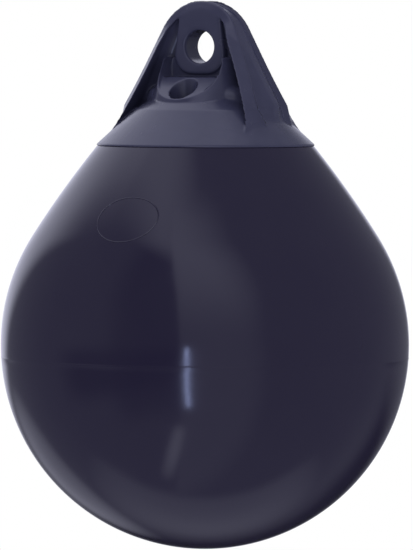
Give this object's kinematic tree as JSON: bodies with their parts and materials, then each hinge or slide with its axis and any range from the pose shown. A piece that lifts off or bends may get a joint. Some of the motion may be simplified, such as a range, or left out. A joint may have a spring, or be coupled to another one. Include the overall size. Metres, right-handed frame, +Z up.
{
  "type": "round inflatable boat fender",
  "caption": "Round inflatable mooring fender: a pear-shaped glossy vinyl body hung from a solid ribbed rope hold with a through eye and a recessed filling valve.",
  "frame": {"origin": "centre of the rope eye, on the axis of its through bore", "axes": "+Z up, from the body to the rope eye; the eye's bore runs along Y; the valve pocket is on the -Y side"},
  "size_m": [0.3684, 0.3684, 0.4946],
  "materials": {
    "navy_vinyl": "glossy soft vinyl skin",
    "navy_moulding": "satin solid vinyl moulding",
    "black_plastic": "moulded",
    "black_rubber": "matt"
  },
  "bodies": {
    "root": {"body": "navy_vinyl", "rope_hold": "navy_moulding", "valve_body": "black_plastic", "valve_seal": "black_rubber", "valve_screw": "black_plastic"}
  },
  "joints": []
}
